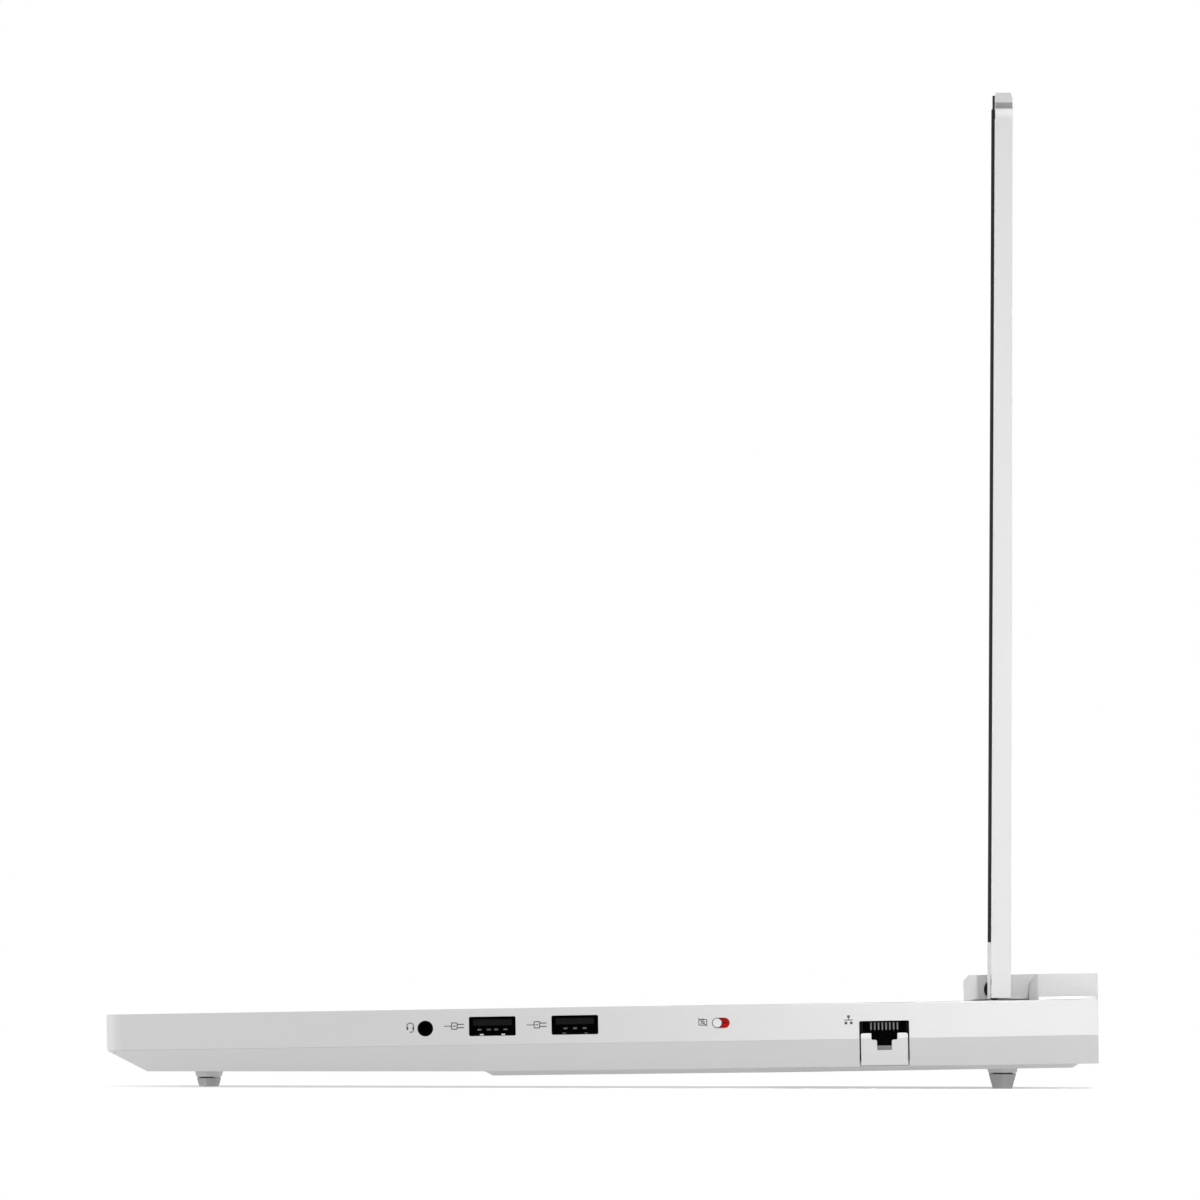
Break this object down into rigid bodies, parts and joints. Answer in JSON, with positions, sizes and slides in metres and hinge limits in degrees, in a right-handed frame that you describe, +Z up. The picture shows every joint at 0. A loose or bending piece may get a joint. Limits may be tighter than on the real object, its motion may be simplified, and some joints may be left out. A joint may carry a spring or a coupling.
{
  "type": "laptop computer",
  "caption": "Clamshell laptop computer with a raised rear block, a lid on two hinges, a keyboard with number pad, a touchpad and side sockets, resting on rubber feet.",
  "frame": {"origin": "on the table, under the middle of the part at rest with the lid open at a right angle", "axes": "+X to the user's right, +Y to the back, +Z up"},
  "size_m": [0.364, 0.268, 0.2709],
  "materials": {
    "housing_white": "fine satin paint over a moulded shell",
    "bottom_white": "fine satin moulded plastic",
    "lid_white": "white coated, satin",
    "key_white": "fine moulded plastic with printed legends",
    "touchpad_white": "smooth coated film",
    "bezel_black": "fine textured moulding",
    "gasket_black": "soft rubber",
    "display_glass": "matte anti-glare film over the panel",
    "foot_rubber": "soft moulded rubber",
    "port_black": "moulded insulator",
    "port_steel": "drawn and plated shell",
    "grille_dark": "moulded",
    "switch_red": "moulded, satin",
    "steel": "stamped, plated",
    "hinge_steel": "black oxide",
    "plate_aluminium": "stamped",
    "fin_aluminium": "stacked thin sheet",
    "copper": "drawn copper",
    "board_green": "solder mask over glass fibre",
    "battery_dark": "film-wrapped pouch cells"
  },
  "bodies": {
    "base": {"top_case": "housing_white", "bottom_cover": "bottom_white", "rear_cover": "housing_white", "hinge_cap_left": "housing_white", "hinge_cap_right": "housing_white", "exhaust_grille_left": "grille_dark", "exhaust_grille_right": "grille_dark", "intake_grilles": "grille_dark", "keyboard_plate": "plate_aluminium", "front_foot": "foot_rubber", "rear_foot": "foot_rubber", "motherboard": "board_green", "battery_pack": "battery_dark", "heat_spreader": "copper", "heat_pipes": "copper", "fin_stack_left": "fin_aluminium", "fin_stack_right": "fin_aluminium", "fan_housing_left": "grille_dark", "fan_housing_right": "grille_dark", "storage_drive": "board_green", "memory_modules": "board_green", "wireless_card": "board_green", "speaker_left": "grille_dark", "speaker_right": "grille_dark", "hinge_bracket_left": "hinge_steel", "hinge_bracket_right": "hinge_steel", "audio_jack": "port_black", "usb_socket_front": "port_steel", "usb_socket_rear": "port_steel", "network_socket": "port_black", "shutter_slot": "switch_red", "power_inlet": "port_black", "video_socket": "port_steel", "usb_c_sockets": "port_steel", "usb_socket_left": "port_steel", "bottom_screws": "steel"},
    "lid": {"lid_cover": "lid_white", "display_bezel": "bezel_black", "bezel_gasket": "gasket_black", "display_panel": "display_glass", "chin_strip": "housing_white", "camera_module": "port_black", "hinge_arm_left": "steel", "hinge_arm_right": "steel"},
    "power_button": {"power_button": "key_white"},
    "touchpad": {"touchpad": "touchpad_white"},
    "shutter_slider": {"shutter_slider": "key_white"},
    "network_jaw": {"network_jaw": "bottom_white"},
    "fan_rotor_left": {"fan_rotor_left": "grille_dark"},
    "fan_rotor_right": {"fan_rotor_right": "grille_dark"},
    "function_row_keys": {"function_row_keys": "key_white"},
    "number_row_keys": {"number_row_keys": "key_white"},
    "upper_row_keys": {"upper_row_keys": "key_white"},
    "home_row_keys": {"home_row_keys": "key_white"},
    "lower_row_keys": {"lower_row_keys": "key_white"},
    "bottom_row_keys": {"bottom_row_keys": "key_white"},
    "space_bar": {"space_bar": "key_white"},
    "arrow_keys": {"arrow_keys": "key_white"},
    "number_pad_keys": {"number_pad_keys": "key_white"}
  },
  "joints": [
    {"name": "lid_hinge", "type": "hinge", "parent": "base", "child": "lid", "pos_m": [0, 0.10577, 0.0269], "axis": [-1, 0, 0], "range_deg": [-91.3, 45]},
    {"name": "power_button_press", "type": "slide", "parent": "base", "child": "power_button", "axis": [0, 0.0178, -0.9998], "range_m": [0, 0.0005], "stiffness_N_per_m": 3000},
    {"name": "touchpad_press", "type": "hinge", "parent": "base", "child": "touchpad", "pos_m": [-0.0286, -0.04631, 0.01911], "axis": [1, 0, 0], "range_deg": [0, 0.326], "stiffness_Nm_per_rad": 20},
    {"name": "shutter_slide", "type": "slide", "parent": "base", "child": "shutter_slider", "axis": [0, 0.9998, 0.0178], "range_m": [0, 0.0019]},
    {"name": "network_jaw_hinge", "type": "hinge", "parent": "base", "child": "network_jaw", "pos_m": [0.1732, 0.07619, 0.00894], "axis": [0, 0.9998, 0.0178], "range_deg": [0, 20], "stiffness_Nm_per_rad": 0.03},
    {"name": "fan_spin_left", "type": "hinge", "parent": "base", "child": "fan_rotor_left", "pos_m": [-0.118, 0.07205, 0.01081], "axis": [0, -0.0178, 0.9998], "continuous": true},
    {"name": "fan_spin_right", "type": "hinge", "parent": "base", "child": "fan_rotor_right", "pos_m": [0.118, 0.07205, 0.01081], "axis": [0, -0.0178, 0.9998], "continuous": true},
    {"name": "function_row_keys_press", "type": "slide", "parent": "base", "child": "function_row_keys", "axis": [0, 0.0178, -0.9998], "range_m": [0, 0.0014], "stiffness_N_per_m": 8000},
    {"name": "number_row_keys_press", "type": "slide", "parent": "base", "child": "number_row_keys", "axis": [0, 0.0178, -0.9998], "range_m": [0, 0.0014], "stiffness_N_per_m": 5600},
    {"name": "upper_row_keys_press", "type": "slide", "parent": "base", "child": "upper_row_keys", "axis": [0, 0.0178, -0.9998], "range_m": [0, 0.0014], "stiffness_N_per_m": 5600},
    {"name": "home_row_keys_press", "type": "slide", "parent": "base", "child": "home_row_keys", "axis": [0, 0.0178, -0.9998], "range_m": [0, 0.0014], "stiffness_N_per_m": 5200},
    {"name": "lower_row_keys_press", "type": "slide", "parent": "base", "child": "lower_row_keys", "axis": [0, 0.0178, -0.9998], "range_m": [0, 0.0014], "stiffness_N_per_m": 4800},
    {"name": "bottom_row_keys_press", "type": "slide", "parent": "base", "child": "bottom_row_keys", "axis": [0, 0.0178, -0.9998], "range_m": [0, 0.0014], "stiffness_N_per_m": 2400},
    {"name": "space_bar_press", "type": "slide", "parent": "base", "child": "space_bar", "axis": [0, 0.0178, -0.9998], "range_m": [0, 0.0014], "stiffness_N_per_m": 400},
    {"name": "arrow_keys_press", "type": "slide", "parent": "base", "child": "arrow_keys", "axis": [0, 0.0178, -0.9998], "range_m": [0, 0.0014], "stiffness_N_per_m": 1600},
    {"name": "number_pad_keys_press", "type": "slide", "parent": "base", "child": "number_pad_keys", "axis": [0, 0.0178, -0.9998], "range_m": [0, 0.0014], "stiffness_N_per_m": 6800}
  ]
}
